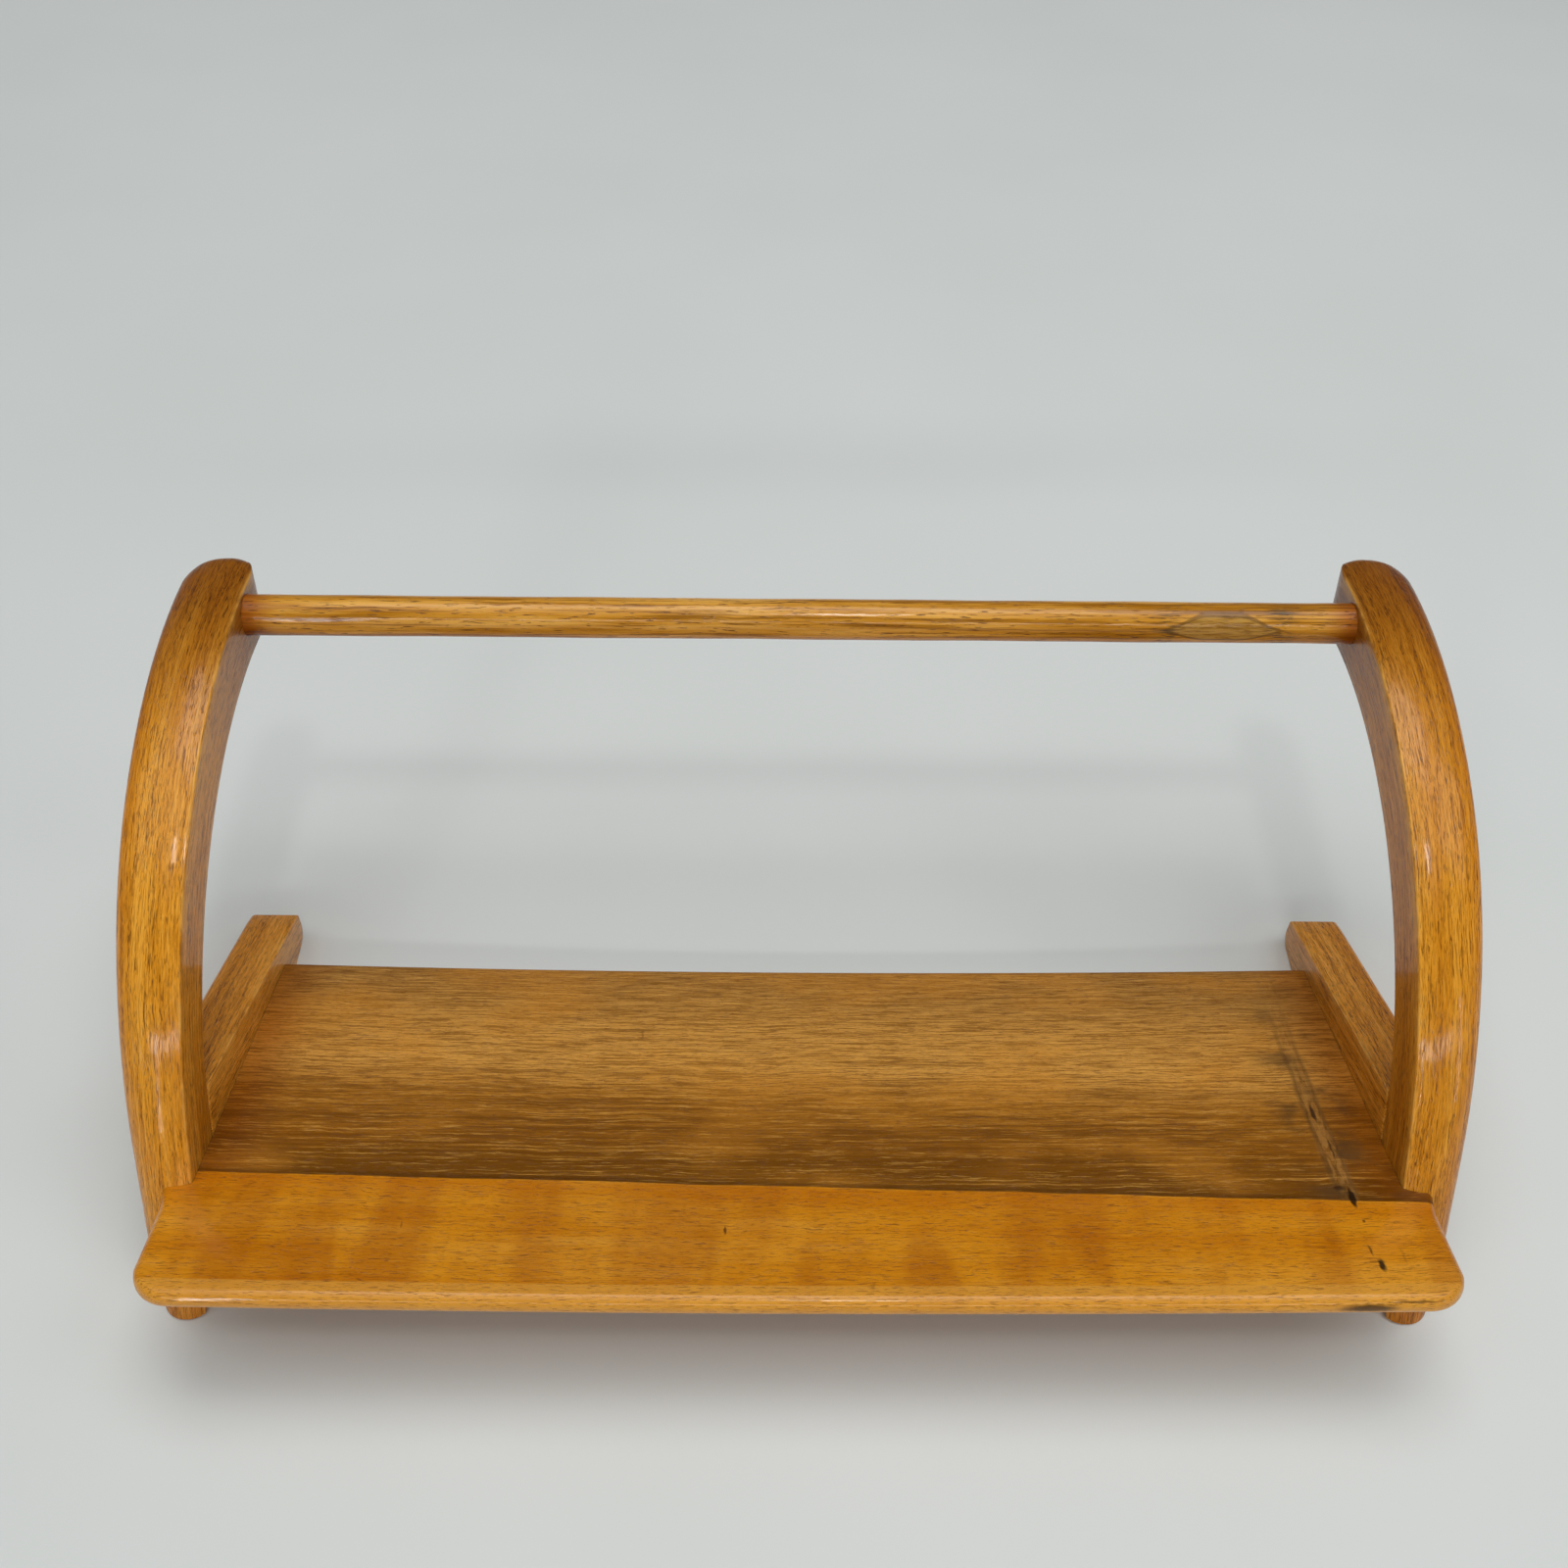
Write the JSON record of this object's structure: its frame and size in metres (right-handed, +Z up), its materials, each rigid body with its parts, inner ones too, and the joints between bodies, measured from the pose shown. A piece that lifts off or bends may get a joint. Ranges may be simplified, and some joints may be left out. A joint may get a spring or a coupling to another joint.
{
  "type": "tabletop book rack",
  "caption": "Wooden tabletop book rack: a sloping shelf between two arched side bows with rear legs, and a round rod that the books lean back against.",
  "frame": {"origin": "on the surface the rack stands on, under the middle of its overall box", "axes": "+X to the rack's right as seen from the front, +Y to the back where the books lean, +Z up"},
  "size_m": [0.4847, 0.272, 0.1584],
  "materials": {
    "frame_wood": "gloss varnish",
    "shelf_wood": "gloss varnish",
    "rod_wood": "satin varnish",
    "dowel_wood": "bare"
  },
  "bodies": {
    "root": {"shelf_board": "shelf_wood", "back_rod": "rod_wood", "left_bow": "frame_wood", "left_rear_leg": "frame_wood", "left_leg_dowel_1": "dowel_wood", "left_leg_dowel_2": "dowel_wood", "left_shelf_dowel_1": "dowel_wood", "left_shelf_dowel_2": "dowel_wood", "left_shelf_dowel_3": "dowel_wood", "right_bow": "frame_wood", "right_rear_leg": "frame_wood", "right_leg_dowel_1": "dowel_wood", "right_leg_dowel_2": "dowel_wood", "right_shelf_dowel_1": "dowel_wood", "right_shelf_dowel_2": "dowel_wood", "right_shelf_dowel_3": "dowel_wood"}
  },
  "joints": []
}
